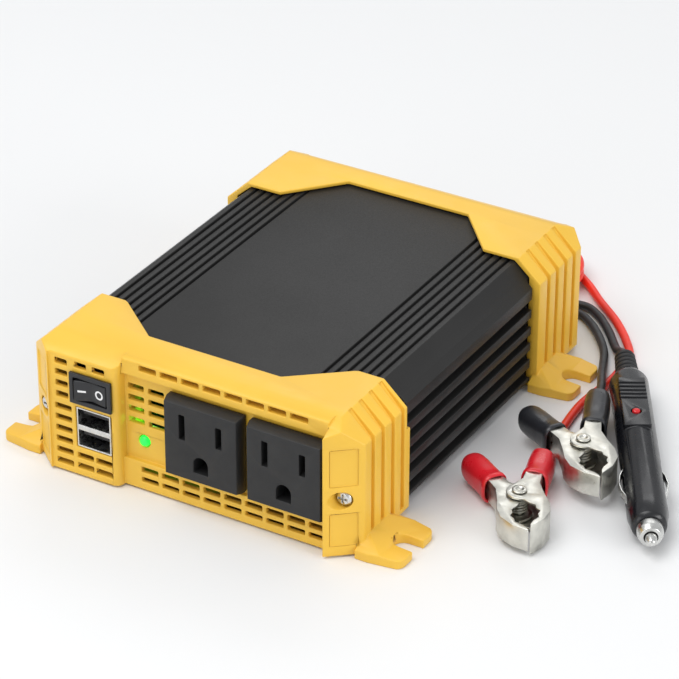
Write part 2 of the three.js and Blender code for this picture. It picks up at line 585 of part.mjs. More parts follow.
CLIPS.forEach((clip) => {
  const { name, at, angle, grip, boot, leadHeight } = clip;
  const group = new THREE.Group();
  group.position.set(...at);
  group.rotation.z = degrees(angle);
  group.scale.setScalar(CLIP.scale);
  object.add(group);
  const { low, high, sheet } = CLIP;
  const [innerLow, innerHigh] = [low + sheet + 0.4, high - sheet - 0.4];
  const flip = (solid) => solid.mirror([0, 1, 0]);
  const sleeve = paint(grip, 0.45, 0);
  add(`${name}_clip_fixed_jaw`, clipJaw(low, high), STEEL, group);
  add(`${name}_clip_moving_jaw`, flip(clipJaw(innerLow, innerHigh)), STEEL, group);
  add(`${name}_clip_fixed_grip`, clipGrip(0, 13, boot, leadHeight), sleeve, group);
  add(`${name}_clip_moving_grip`, flip(clipGrip(innerLow - 1.1, innerHigh + 1.1, HANDLE.grip)), sleeve, group);
  const rivet = [[0, 0.15], [2.5, 0.15], [2.5, 0.75], [1.45, 0.75], [1.45, 12.25], [2.5, 12.25], [2.5, 12.6], [0, 12.85]];
  add(`${name}_clip_rivet`, turned(rivet, 16), STEEL, group);
  const spring = [[1.9, 3.9], [3.4, 3.9], [3.4, 9.1], [1.9, 9.1], [1.9, 3.9]];
  add(`${name}_clip_spring`, turned(spring, 16), STEEL, group);
});

// ---- 12 V plug ----
const plugAt = (along, z = PLUG.axisZ) => [
  PLUG.start[0] + along * Math.cos(degrees(PLUG.angle)),
  PLUG.start[1] + along * Math.sin(degrees(PLUG.angle)),
  z,
];
{
  const group = new THREE.Group();
  group.position.set(...plugAt(0));
  group.rotation.z = degrees(PLUG.angle);
  object.add(group);
  // Turned pieces lie along the group's +X.
  const lying = (points, sides = 24) => turned(points, sides).rotateY(Math.PI / 2);
  const ribs = [[0, 0], [2.3, 0]];
  for (let i = 0; i < 5; i += 1) {
    const s = 0.8 + i * 2.5;
    ribs.push([2.4 + i * 0.12, s], [3.3 + i * 0.12, s + 0.3], [3.3 + i * 0.12, s + 1.4], [2.4 + i * 0.12, s + 1.7]);
  }
  ribs.push([3, 13.6], [0, 13.6]);
  add('plug_strain_relief', lying(ribs, 12), BLACK, group);
  const { radius } = PLUG;
  const profile = [[0, 14], [4.6, 14], [radius, 18], [radius, 92], [radius - 0.9, 97.5], [4.2, 98.6], [0, 98.6]];
  let body = toSolid(lying(profile, 32));
  body = body.add(box(24, 52, -4.2, 4.2, 3, radius + 0.55));
  for (let i = 0; i < 5; i += 1) {
    body = body.subtract(box(27 + i * 2.2, 28 + i * 2.2, -9, 9, radius - 0.1, 9));
  }
  const ledHole = toSolid(turned([[0, 0], [1.6, 0], [1.6, 5], [0, 5]], 16).translate(44, 0, 5.4));
  body = body.subtract(ledHole);
  [-1, 1].forEach((side) => {
    body = body.subtract(box(64, 88, side > 0 ? 2.4 : -9, side > 0 ? 9 : -2.4, -1.7, 1.7));
  });
  body = body.subtract(toSolid(lying([[0, 93.5], [2.2, 93.5], [2.2, 99], [0, 99]], 16)));
  add('plug_body', body, BLACK, group);
  const lens = turned([[0, 0], [1.25, 0], [1.25, 1.2], [0.7, 1.6], [0, 1.7]], 16).translate(0, 0, 5.7);
  add('plug_led', lens, RED, group).position.x = 44;
  const collar = [[2.2, 98.9], [4, 98.9], [4, 101.4], [3.2, 103.4], [2.2, 103.4], [2.2, 98.9]];
  add('plug_collar', lying(collar, 20), STEEL, group);
  const pin = [[0, 97.2], [1.8, 97.2], [1.8, 104.6], [1.1, 106.6], [0, 107]];
  add('plug_tip_pin', lying(pin, 16), STEEL, group);
  [['left', 1], ['right', -1]].forEach(([side, hand]) => {
    const bow = [[65, 4.75], [67, 5.2], [72, 7.1], [76, 7.6], [80, 7.1], [85, 5.2], [87, 4.75]];
    const inner = bow.map(([s, v]) => [s, v - 0.5]).reverse();
    const spring = raised([...bow, ...inner].map(([s, v]) => [s, v * hand]), -1.3, 1.3);
    add(`plug_side_contact_${side}`, spring, STEEL, group);
  });
}

// ---- glands and leads ----
function addLead({ name, material, coilX, glandX, turn, out, end }) {
  const gland = [
    [LEAD / 2 + GAP, 0], [2.9, 0], [2.9, 3.2], [4.2, 3.2], [4.2, 4.4], [2.6, 6.4], [2, 7.4],
    [LEAD / 2 + GAP, 7.4], [LEAD / 2 + GAP, 0],
  ];
  const bush = add(`${name}_gland`, turned(gland, 14), BLACK);
  bush.rotation.x = degrees(-90);
  bush.position.set(glandX, REAR_PANEL - 2.7, GLAND_Z);
  const half = COIL.across * LEAD / 2 + 0.2;
  const height = COIL.layers * LEAD + 0.2;
  const ring = [
    [COIL.radius - half, 0], [COIL.radius + half, 0], [COIL.radius + half, height],
    [COIL.radius - half, height], [COIL.radius - half, 0],
  ];
  add(`${name}_coil`, turned(ring, 20), material).position.set(coilX, COIL.y, 0.05);
  const top = (COIL.layers - 0.5) * LEAD;
  add(`${name}_in`, tube([
    [glandX, 55, GLAND_Z], [glandX, 70, GLAND_Z], [glandX, 78, GLAND_Z], [glandX, 82, GLAND_Z - 0.6],
    [glandX, 86, GLAND_Z - 2.2], [glandX, 89.2, top + 3.8],
  ]), material);
  const points = [...out.map(([x, y]) => [x, y, FLOOR]), ...end];
  add(`${name}_out`, tube(points), material);
}
const [redLead, blackLead, plugLead] = leads;
redLead.end = [[81.3, 2, 1.7], [81.9, 0, 2.6], clipEntry(CLIPS[0])];
blackLead.end = [[72.6, 55.8, 2.9], [75.6, 49.2, 5], [79, 42, 7], clipEntry(CLIPS[1])];
plugLead.end = [[70.6, 70.8, 2.6], [74, 67, 4.9], plugAt(-2 * GAP)];
leads.forEach(addLead);

export default object;
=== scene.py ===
# Looks of a power inverter: finned aluminium body, yellow end caps, outlets, and a 12 V lead set.
# Lengths are in millimetres and become metres in metres(). +Z is up, and +X runs along the outlet face.

import json
import math

import bmesh
import bpy
from mathutils import Matrix, Vector


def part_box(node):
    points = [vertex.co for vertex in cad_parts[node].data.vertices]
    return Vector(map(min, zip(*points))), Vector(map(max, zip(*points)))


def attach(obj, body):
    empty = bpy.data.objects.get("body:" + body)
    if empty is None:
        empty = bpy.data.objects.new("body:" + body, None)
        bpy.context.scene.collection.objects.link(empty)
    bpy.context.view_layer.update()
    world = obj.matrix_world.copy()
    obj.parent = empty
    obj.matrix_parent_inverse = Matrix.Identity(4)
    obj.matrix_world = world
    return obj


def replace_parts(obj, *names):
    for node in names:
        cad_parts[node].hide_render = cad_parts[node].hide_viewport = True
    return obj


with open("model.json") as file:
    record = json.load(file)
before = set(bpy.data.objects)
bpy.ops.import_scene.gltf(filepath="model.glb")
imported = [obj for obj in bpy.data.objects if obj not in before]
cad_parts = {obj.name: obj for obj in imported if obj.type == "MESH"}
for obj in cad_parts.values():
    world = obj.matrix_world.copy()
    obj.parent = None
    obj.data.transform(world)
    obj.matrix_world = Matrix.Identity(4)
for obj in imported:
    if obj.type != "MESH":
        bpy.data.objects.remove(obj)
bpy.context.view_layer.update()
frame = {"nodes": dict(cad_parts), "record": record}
record = frame["record"]
scene = bpy.context.scene


def metres(point):
    """A point in millimetres as a vector in metres."""
    return Vector(point) / 1000


# ---------- camera ----------
CAMERA_AT = (0.4517, -0.7555, 0.5382)
LOOK_AT = (0.00861, 0.0, 0.02393)
CAMERA_ROLL = 0.11
LENS = 173.6


def add_camera():
    data = bpy.data.cameras.new("camera")
    data.lens = LENS
    data.sensor_width = 36.0
    data.clip_start = 0.05
    data.clip_end = 20.0
    camera = bpy.data.objects.new("camera", data)
    aim = (Vector(LOOK_AT) - Vector(CAMERA_AT)).to_track_quat("-Z", "Y")
    roll = Matrix.Rotation(math.radians(CAMERA_ROLL), 4, "Z")
    camera.matrix_world = Matrix.Translation(CAMERA_AT) @ aim.to_matrix().to_4x4() @ roll
    scene.collection.objects.link(camera)
    scene.camera = camera


add_camera()

# ---------- materials ----------


class Nodes:
    """A material's node tree, with short calls for the nodes that the finishes share."""

    def __init__(self, name, **sockets):
        self.material = bpy.data.materials.new(name)
        self.material.use_nodes = True
        self.tree = self.material.node_tree
        self.tree.nodes.clear()
        self.shader = self.tree.nodes.new("ShaderNodeBsdfPrincipled")
        output = self.tree.nodes.new("ShaderNodeOutputMaterial")
        self.link(self.shader.outputs["BSDF"], output.inputs["Surface"])
        for socket, value in sockets.items():
            self.shader.inputs[socket.replace("_", " ")].default_value = value
        self.place = self.tree.nodes.new("ShaderNodeTexCoord").outputs["Object"]

    def link(self, start, end):
        self.tree.links.new(start, end)

    def stretched(self, scale):
        """Object coordinates, scaled by a different number along each axis."""
        node = self.tree.nodes.new("ShaderNodeMapping")
        node.inputs["Scale"].default_value = scale
        self.link(self.place, node.inputs["Vector"])
        return node.outputs["Vector"]

    def noise(self, scale, detail=3.0, rough=0.55, vector=None):
        node = self.tree.nodes.new("ShaderNodeTexNoise")
        node.inputs["Scale"].default_value = scale
        node.inputs["Detail"].default_value = detail
        node.inputs["Roughness"].default_value = rough
        self.link(vector or self.place, node.inputs["Vector"])
        return node.outputs["Fac"]

    def ranged(self, value, low, high, start=0.3, stop=0.7):
        """A value from start to stop, turned into one from low to high."""
        node = self.tree.nodes.new("ShaderNodeMapRange")
        for socket, number in (("From Min", start), ("From Max", stop), ("To Min", low), ("To Max", high)):
            node.inputs[socket].default_value = number
        self.link(value, node.inputs["Value"])
        return node.outputs["Result"]

    def mixed(self, factor, dark, light):
        node = self.tree.nodes.new("ShaderNodeMix")
        node.data_type = "RGBA"
        node.inputs["A"].default_value = (*dark, 1)
        node.inputs["B"].default_value = (*light, 1)
        self.link(factor, node.inputs["Factor"])
        return node.outputs["Result"]

    def colour(self, factor, dark, light):
        self.link(self.mixed(factor, dark, light), self.shader.inputs["Base Color"])

    def roughness(self, value, low, high):
        self.link(self.ranged(value, low, high), self.shader.inputs["Roughness"])

    def bump(self, height, distance, strength=1.0, under=None):
        """A bump of that height in millimetres, on top of another bump."""
        node = self.tree.nodes.new("ShaderNodeBump")
        node.inputs["Distance"].default_value = distance / 1000
        node.inputs["Strength"].default_value = strength
        self.link(height, node.inputs["Height"])
        if under:
            self.link(under, node.inputs["Normal"])
        self.link(node.outputs["Normal"], self.shader.inputs["Normal"])
        return node.outputs["Normal"]


def shade(colour, factor):
    return tuple(min(1.0, c * factor) for c in colour)


def moulded(name, colour, rough, grain=0.012, spread=0.06, **sockets):
    """Moulded plastic with a fine spark-eroded grain and faint flow marks."""
    nodes = Nodes(name, **sockets)
    flow = nodes.noise(28, 2)
    nodes.colour(nodes.ranged(flow, 0, 1), shade(colour, 1 - spread), shade(colour, 1 + spread / 2))
    nodes.roughness(nodes.noise(160, 4), rough - 0.07, rough + 0.07)
    waves = nodes.bump(nodes.noise(90, 1), 0.02, 0.5)
    nodes.bump(nodes.noise(2600, 2), grain, 0.6, waves)
    return nodes.material


def anodised(name, colour, rough):
    """Blasted and dyed aluminium, with faint die lines along the extrusion."""
    nodes = Nodes(name, Metallic=0.55)
    patch = nodes.noise(22, 3)
    nodes.colour(nodes.ranged(patch, 0, 1), shade(colour, 0.86), shade(colour, 1.14))
    grain = nodes.noise(3200, 2)
    lines = nodes.noise(1.0, 3, vector=nodes.stretched((1500, 6, 1500)))
    nodes.roughness(grain, rough - 0.08, rough + 0.08)
    along = nodes.bump(lines, 0.01, 0.5)
    nodes.bump(grain, 0.02, 0.7, along)
    return nodes.material


def plated(name, colour, rough, marks=0.006, scale=(700, 700, 700)):
    """Plated metal with fine rolling marks and small stains."""
    nodes = Nodes(name, Metallic=1.0)
    stain = nodes.noise(260, 4)
    nodes.colour(nodes.ranged(stain, 0, 1, 0.35, 0.6), shade(colour, 0.84), colour)
    nodes.roughness(nodes.noise(420, 5), rough - 0.08, rough + 0.12)
    nodes.bump(nodes.noise(1.0, 4, vector=nodes.stretched(scale)), marks, 0.6)
    return nodes.material


def vinyl(name, colour, rough, ripple=0.02, **sockets):
    """Soft dipped or extruded vinyl, a little uneven."""
    nodes = Nodes(name, **sockets)
    nodes.colour(nodes.ranged(nodes.noise(60, 3), 0, 1), shade(colour, 0.8), shade(colour, 1.1))
    nodes.roughness(nodes.noise(300, 3), rough - 0.06, rough + 0.1)
    soft = nodes.bump(nodes.noise(140, 2), ripple, 0.7)
    nodes.bump(nodes.noise(1900, 2), 0.006, 0.6, soft)
    return nodes.material


def glowing(name, colour, strength, node):
    """A lit indicator: deep in colour at its middle, and brighter towards its rim."""
    nodes = Nodes(name, Roughness=0.25, Emission_Strength=strength)
    low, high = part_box(node)
    away = nodes.tree.nodes.new("ShaderNodeVectorMath")
    away.operation = "DISTANCE"
    away.inputs[1].default_value = (Vector(low) + Vector(high)) / 2
    nodes.link(nodes.place, away.inputs[0])
    rim = nodes.ranged(away.outputs["Value"], 0, 1, 0.0009, 0.0019)
    lit = nodes.mixed(rim, shade(colour, 0.45), shade(colour, 1.0))
    nodes.link(lit, nodes.shader.inputs["Emission Color"])
    nodes.colour(nodes.noise(900, 2), shade(colour, 0.7), colour)
    return nodes.material


def circuit_board(name):
    """Green solder mask over copper tracks."""
    nodes = Nodes(name, Coat_Weight=0.3)
    cells = nodes.tree.nodes.new("ShaderNodeTexVoronoi")
    cells.feature = "DISTANCE_TO_EDGE"
    cells.inputs["Scale"].default_value = 190
    nodes.link(nodes.place, cells.inputs["Vector"])
    track = nodes.ranged(cells.outputs["Distance"], 1, 0, 0.05, 0.09)
    nodes.colour(track, (0.012, 0.1, 0.035), (0.05, 0.24, 0.08))
    nodes.roughness(nodes.noise(500, 2), 0.3, 0.45)
    nodes.bump(track, 0.03, 0.8)
    return nodes.material


def wound_wire(name, colour):
    """Enamelled wire laid turn beside turn, with painted shade darkening the grooves between the turns."""
    nodes = Nodes(name, Metallic=0.9, Roughness=0.3)
    wave = nodes.tree.nodes.new("ShaderNodeTexWave")
    wave.bands_direction = "Z"
    wave.inputs["Scale"].default_value = 420
    wave.inputs["Distortion"].default_value = 0.2
    nodes.link(nodes.place, wave.inputs["Vector"])
    # painted shade: the colour falls to 40% of the copper in the grooves between the turns, where the bump
    # is lowest
    nodes.colour(wave.outputs["Fac"], shade(colour, 0.4), colour)
    nodes.bump(wave.outputs["Fac"], 0.15, 0.8)
    return nodes.material


YELLOW = (0.85, 0.51, 0.05)
MATERIALS = {
    "yellow_plastic": moulded("yellow_plastic", YELLOW, 0.42, Sheen_Weight=0.1, Sheen_Roughness=0.4),
    "anodised_aluminium": anodised("anodised_aluminium", (0.03, 0.0295, 0.029), 0.48),
    "charcoal_plastic": moulded("charcoal_plastic", (0.012, 0.012, 0.0125), 0.54, 0.02, 0.1),
    "black_plastic": moulded("black_plastic", (0.014, 0.0145, 0.017), 0.42, 0.012, 0.1),
    "plug_plastic": moulded("plug_plastic", (0.006, 0.0063, 0.0085), 0.27, 0.004, 0.1, Coat_Weight=0.1),
    "brass": plated("brass", (0.72, 0.5, 0.2), 0.3),
    "steel": plated("steel", (0.72, 0.72, 0.7), 0.26),
    "clip_steel": plated("clip_steel", (0.7, 0.69, 0.63), 0.34, 0.01, (900, 900, 60)),
    "green_lens": glowing("green_lens", (0.015, 0.85, 0.07), 1.1, "led_lens"),
    "circuit_board": circuit_board("circuit_board"),
    "ferrite": moulded("ferrite", (0.03, 0.03, 0.032), 0.7, 0.03, 0.2),
    "copper_wire": wound_wire("copper_wire", (0.6, 0.25, 0.1)),
    "red_plastic": moulded("red_plastic", (0.62, 0.02, 0.025), 0.25, 0.004),
    "red_grip": vinyl("red_grip", (0.66, 0.012, 0.022), 0.3, Coat_Weight=0.2),
    "black_grip": vinyl("black_grip", (0.017, 0.018, 0.022), 0.33, Coat_Weight=0.2),
    "black_rubber": vinyl("black_rubber", (0.014, 0.014, 0.016), 0.55, 0.01),
    "red_cable": vinyl("red_cable", (0.86, 0.035, 0.015), 0.38, 0.008),
    "black_cable": vinyl("black_cable", (0.018, 0.018, 0.02), 0.42, 0.008),
}
WHITE_MARK = moulded("white_mark", (0.85, 0.85, 0.85), 0.45)

# ---------- pieces ----------
SLOT_OF = {part["node"]: part["material_slot"] for part in record["subparts"]}
BODY_OF = {
    node: body for body, nodes in record["behaviour"]["bodies"].items() for node in nodes
}


def place(name, mesh, body, slot, material=None):
    """A new piece with that mesh, riding on a body."""
    piece = bpy.data.objects.new(name, mesh)
    scene.collection.objects.link(piece)
    mesh.materials.clear()
    mesh.materials.append(material or MATERIALS[slot])
    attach(piece, body)
    return piece


def stand_for(name, node, mesh, material=None):
    """A new piece that takes a CAD node's place, its body and its material slot."""
    piece = place(name, mesh, BODY_OF[node], SLOT_OF[node], material)
    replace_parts(piece, node)
    return piece


def soften(piece, width, segments=2, angle=30):
    """Rounds a piece's edges, and shades it smooth between them."""
    for polygon in piece.data.polygons:
        polygon.use_smooth = True
    bevel = piece.modifiers.new("edges", "BEVEL")
    bevel.width = width / 1000
    bevel.segments = segments
    bevel.limit_method = "ANGLE"
    bevel.angle_limit = math.radians(angle)
    bevel.use_clamp_overlap = False
    bevel.miter_outer = "MITER_ARC"
    bevel.harden_normals = True
    return piece


# Planes through each hole of a flat wall, so that no joined face has a hole in it: heights in millimetres.
HOLE_HEIGHTS = {
    "front_cap": [4, 7.6, 11.4, 15.2, 19, 23, 27, 31, 35, 38.6, 43],
    "rear_cap": [9, 13, 17, 21, 23.75, 26, 29.5, 33, 37],
    "outlet_left": [18, 29], "outlet_right": [18, 29],
    "usb_shell": [14, 21], "switch_frame": [32], "fan_frame": [23], "transformer_core": [20],
    "body_extrusion": [19.5],
}


def hole_planes(node):
    """A point and a normal, in metres, for each plane that cuts a node's holes open."""
    if node == "plug_body":
        return [(metres(plug_point(PLUG_HOLES)), plug_turn @ Vector((1, 0, 0)))]
    if node.endswith("_jaw"):
        clip = CLIPS[node.split("_")[0]]
        return [(metres(clip["at"]), clip_matrix(clip).to_3x3() @ Vector((1, 0, 0)))]
    return [(metres((0, 0, z)), Vector((0, 0, 1))) for z in HOLE_HEIGHTS.get(node, [])]


def merged(node, flat=0.5):
    """A copy of a CAD node's mesh, with the triangles of each flat face joined."""
    mesh = frame["nodes"][node].data.copy()
    mesh.name = node + "_finish"
    bm = bmesh.new()
    bm.from_mesh(mesh)
    bmesh.ops.remove_doubles(bm, verts=bm.verts, dist=2e-6)
    for point, normal in hole_planes(node):
        parts = [*bm.verts, *bm.edges, *bm.faces]
        made = bmesh.ops.bisect_plane(bm, geom=parts, dist=1e-6, plane_co=point, plane_no=normal)
        for item in made["geom_cut"]:
            if isinstance(item, bmesh.types.BMEdge):
                item.seam = True
    bmesh.ops.dissolve_limit(
        bm, angle_limit=math.radians(flat), verts=bm.verts, edges=bm.edges, delimit={"SEAM"}
    )
    bm.to_mesh(mesh)
    bm.free()
    return mesh


def refined(node, width, segments=2, angle=30):
    return soften(stand_for(node + "_finish", node, merged(node)), width, segments, angle)


def spun(profile, matrix, turns=48, closed=False):
    """A turned mesh about its own Z, from [radius, height] points in millimetres."""
    bm = bmesh.new()
    rings = []
    for radius, height in profile:
        if radius < 1e-6:
            rings.append([bm.verts.new((0, 0, height))])
            continue
        steps = [2 * math.pi * i / turns for i in range(turns)]
        rings.append([bm.verts.new((radius * math.cos(a), radius * math.sin(a), height)) for a in steps])
    pairs = list(zip(rings, rings[1:]))
    if closed:
        pairs.append((rings[-1], rings[0]))
    for low, high in pairs:
        for i in range(turns):
            j = (i + 1) % turns
            corners = [low[i % len(low)], low[j % len(low)], high[j % len(high)], high[i % len(high)]]
            face = list(dict.fromkeys(corners))
            if len(face) > 2:
                bm.faces.new(face)
    bmesh.ops.recalc_face_normals(bm, faces=bm.faces)
    mesh = bpy.data.meshes.new("turned")
    bm.to_mesh(mesh)
    bm.free()
    mesh.transform(Matrix.Scale(0.001, 4) @ matrix)
    return mesh


def smooth(piece, angle=35):
    """Smooth shading, with the edges sharper than that angle kept sharp."""
    mesh = piece.data
    bm = bmesh.new()
    bm.from_mesh(mesh)
    for edge in bm.edges:
        if len(edge.link_faces) == 2 and edge.calc_face_angle() > math.radians(angle):
            edge.smooth = False
    for face in bm.faces:
        face.smooth = True
    bm.to_mesh(mesh)
    bm.free()
    return piece


# ---------- leads ----------
LEAD = 2.8
FLOOR = LEAD / 2 + 0.2
GLAND_Z = 14
EXIT_Y = 70  # each lead starts here, inside the rear cap
GLAND_Y = 70.8  # inner end of each gland
COIL = {"y": 101, "inner": 12.6, "outer": 15.4, "step": 2.83}
PLUG = {"start": (76.9, 62.8), "angle": -59.6, "z": 6.5}
PLUG_HOLES = 44  # how far along the plug its side openings lie
CLIPS = {
    "red": {"at": (87.6, -29.5, 0), "angle": -53.7, "boot": 30, "height": 3.9},
    "black": {"at": (92.7, 1.9, 2.6), "angle": -47.4, "boot": 36, "height": 6.5},
}
CLIP_SCALE = 0.9
HANDLE_SLOPE = math.radians(20.6)
HANDLE_OFFSET = 2.6


def on_handle(distance, aside=0.0):
    """A point on a clip handle's line, that far from the pivot."""
    cos, sin = math.cos(HANDLE_SLOPE), math.sin(HANDLE_SLOPE)
    return (-distance * cos + aside * sin, HANDLE_OFFSET + distance * sin + aside * cos)


def clip_matrix(clip):
    turn = Matrix.Rotation(math.radians(clip["angle"]), 4, "Z")
    return Matrix.Translation(clip["at"]) @ turn @ Matrix.Scale(CLIP_SCALE, 4)


def boot_point(clip, past):
    """A point on the line of a clip's boot, that far past its mouth."""
    u, v = on_handle(clip["boot"] + past)
    return tuple(clip_matrix(clip) @ Vector((u, v, clip["height"])))


def plug_point(along):
    angle = math.radians(PLUG["angle"])
    x, y = PLUG["start"]
    return (x + along * math.cos(angle), y + along * math.sin(angle), PLUG["z"])


LEADS = {
    "red": {
        "coil_x": 24.5, "gland_x": 9.1, "turn": -1, "degrees": 1575,
        "out": [
            (43.2, 105.6), (50.6, 98.4), (61.4, 88.8), (69.4, 79.6), (74.4, 72), (75.8, 65),
            (76.4, 58), (76.3, 52), (75.4, 45), (74.8, 37), (75.4, 28), (77, 18), (79.4, 9.4),
            (80.6, 5),
        ],
        "end": [
            (81.3, 2, 1.7), (81.9, 0, 2.6), boot_point(CLIPS["red"], 0.5),
            boot_point(CLIPS["red"], -6),
        ],
    },
    "black": {
        "coil_x": -51, "gland_x": -35.6, "turn": 1, "degrees": 1695,
        "out": [
            (-44, 82.4), (-34, 79.8), (-20, 78.6), (0, 78.6), (18, 78.6), (30, 79.4), (38, 83),
            (44, 87), (49, 87.2), (54.6, 83.6), (61.2, 76.8), (66.4, 69.6), (69.8, 62.4),
        ],
        "end": [
            (72.6, 55.8, 2.9), (75.6, 49.2, 5), (79, 42, 7), boot_point(CLIPS["black"], 0.5),
            boot_point(CLIPS["black"], -6),
        ],
    },
    "plug": {
        "coil_x": -15.5, "gland_x": -0.1, "turn": 1, "degrees": 1700,
        "out": [
            (-6.6, 83.9), (2, 82.3), (14, 82), (26, 82), (33, 83.8), (38.6, 88), (43.6, 92),
            (49, 92.6), (54.6, 89.4), (62, 82), (67.2, 75.4),
        ],
        "end": [
            (70.6, 70.8, 2.6), (74, 67, 4.9), plug_point(-0.6), plug_point(14), plug_point(34),
            plug_point(52),
        ],
    },
}


def eased(t):
    t = min(1.0, max(0.0, t))
    return t * t * (3 - 2 * t)


# A coil's turns change place one after the other, each a little before the last one's.
SHIFT_FIRST, SHIFT_WIDTH, SHIFT_STEP = 290, 55, 60
SHIFTS = [SHIFT_FIRST + k * (360 - SHIFT_STEP) for k in range(5)]
ENTRY = 70


def coil_turns(lead):
    """The middle line of a coil: inner and outer turns in three layers, from the top down."""
    inner, outer, step = COIL["inner"], COIL["outer"], COIL["step"]
    stages = [
        (inner, 2), (outer, 2), (outer, 1), (inner, 1), (inner, 0), (outer, 0),
    ]
    start = 180 if lead["turn"] < 0 else 0
    points = []
    count = lead["degrees"] // 15
    for i in range(1, count + 1):
        turned = lead["degrees"] * i / count
        radius, level = stages[0]
        for shift, (next_radius, next_level) in zip(SHIFTS, stages[1:]):
            t = eased((turned - shift) / SHIFT_WIDTH)
            radius += (next_radius - radius) * t
            level += (next_level - level) * t
        z = FLOOR + level * step
        if turned < ENTRY:  # the lead comes in over the outer turn and rolls down beside it
            roll = math.pi / 2 * eased(turned / ENTRY)
            radius = outer - step * math.sin(roll)
            z = FLOOR + 2 * step + step * math.cos(roll)
        angle = math.radians(start + lead["turn"] * turned)
        points.append((lead["coil_x"] + radius * math.cos(angle), COIL["y"] + radius * math.sin(angle), z))
    return points


def lead_route(lead):
    x = lead["gland_x"]
    top = FLOOR + 3 * COIL["step"]
    lead_in = [
        (x, EXIT_Y, GLAND_Z), (x, 74, GLAND_Z), (x, 78, GLAND_Z), (x, 82, GLAND_Z - 0.6),
        (x, 86, GLAND_Z - 2.2), (x, 89.2, top + 0.7), (x, 94, top + 0.05), (x, 98, top),
        (x, COIL["y"], top),
    ]
    out = [(px, py, FLOOR) for px, py in lead["out"]]
    return lead_in + coil_turns(lead) + out + lead["end"]


def flowing(points, spacing=1.2):
    """A centripetal Catmull-Rom curve through the points, as closely spaced points."""
    nodes = [Vector(p) for p in points]
    nodes = [nodes[0] * 2 - nodes[1]] + nodes + [nodes[-1] * 2 - nodes[-2]]
    line = []
    for a, b, c, d in zip(nodes, nodes[1:], nodes[2:], nodes[3:]):
        t0 = 0.0
        t1 = t0 + math.sqrt((b - a).length)
        t2 = t1 + math.sqrt((c - b).length)
        t3 = t2 + math.sqrt((d - c).length)
        steps = max(1, round((c - b).length / spacing))
        for i in range(steps):
            t = t1 + (t2 - t1) * i / steps
            ab = a.lerp(b, (t - t0) / (t1 - t0))
            bc = b.lerp(c, (t - t1) / (t2 - t1))
            cd = c.lerp(d, (t - t2) / (t3 - t2))
            abc = ab.lerp(bc, (t - t0) / (t2 - t0))
            bcd = bc.lerp(cd, (t - t1) / (t3 - t1))
            line.append(abc.lerp(bcd, (t - t1) / (t2 - t1)))
    line.append(nodes[-2])
    return line


def add_wire(name, line, radius, resolution, slot):
    """A round wire along a line of points, riding on the root body."""
    curve = bpy.data.curves.new(name, "CURVE")
    curve.dimensions = "3D"
    curve.bevel_depth = radius / 1000
    curve.bevel_resolution = resolution
    curve.use_fill_caps = True
    spline = curve.splines.new("POLY")
    spline.points.add(len(line) - 1)
    for point, place_at in zip(spline.points, line):
        point.co = (*metres(place_at), 1)
    spline.use_smooth = True
    piece = bpy.data.objects.new(name, curve)
    scene.collection.objects.link(piece)
    curve.materials.append(MATERIALS[slot])
    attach(piece, "root")
    return piece


def add_lead(name, lead):
    """A lead as one round curve from inside the rear cap to its far end, and its length in metres."""
    line = flowing(lead_route(lead))
    piece = add_wire(name + "_lead", line, LEAD / 2, 4, SLOT_OF[name + "_lead_out"])
    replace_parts(piece, *(f"{name}_lead_{part}" for part in ("in", "coil", "out")))
    length = sum((b - a).length for a, b in zip(line, line[1:])) / 1000
    return piece, length


lead_pieces = {name: add_lead(name, lead) for name, lead in LEADS.items()}

# ---------- plug ----------
plug_turn = Matrix.Rotation(math.radians(PLUG["angle"]), 4, "Z")
plug_matrix = Matrix.Translation(plug_point(0)) @ plug_turn
LYING = Matrix.Rotation(math.radians(90), 4, "Y")  # a turned piece's Z becomes the plug's X


def rounded(profile, radius, steps=3):
    """An outline with each inside corner turned into a short arc."""
    result = [profile[0]]
    for before, corner, after in zip(profile, profile[1:], profile[2:]):
        a, b, c = Vector(before), Vector(corner), Vector(after)
        reach = min(radius, (a - b).length / 2.1, (c - b).length / 2.1)
        start = b + (a - b).normalized() * reach
        stop = b + (c - b).normalized() * reach
        for i in range(steps + 1):
            t = i / steps
            result.append(tuple(start.lerp(b, t).lerp(b.lerp(stop, t), t)))
    result.append(profile[-1])
    return result


def strain_relief():
    ribs = [(1.5, 0.0), (2.3, 0.0)]
    for i in range(5):
        s, low, high = 0.8 + i * 2.5, 2.4 + i * 0.12, 3.3 + i * 0.12
        ribs += [(low, s), (high, s + 0.3), (high, s + 1.4), (low, s + 1.7)]
    ribs += [(3.0, 13.6), (1.5, 13.6)]
    mesh = spun(rounded(ribs, 0.35), plug_matrix @ LYING, closed=True)
    return smooth(stand_for("plug_strain_relief_finish", "plug_strain_relief", mesh))


def collar():
    profile = [(2.2, 98.9), (4, 98.9), (4, 101.4), (3.2, 103.4), (2.2, 103.4)]
    mesh = spun(rounded(profile, 0.25), plug_matrix @ LYING, closed=True)
    return smooth(stand_for("plug_collar_finish", "plug_collar", mesh), 30)


def tip_pin():
    profile = [(0, 97.2), (1.8, 97.2), (1.8, 104.6), (1.1, 106.6), (0, 107)]
    mesh = spun(rounded(profile, 0.8), plug_matrix @ LYING)
    return smooth(stand_for("plug_tip_pin_finish", "plug_tip_pin", mesh), 50)


plug_pieces = [
    strain_relief(), collar(), tip_pin(),
    refined("plug_body", 0.3, 2, 32),
    refined("plug_led", 0.15, 2, 40),
    refined("plug_side_contact_left", 0.12, 2, 40),
    refined("plug_side_contact_right", 0.12, 2, 40),
]

# ---------- clips ----------


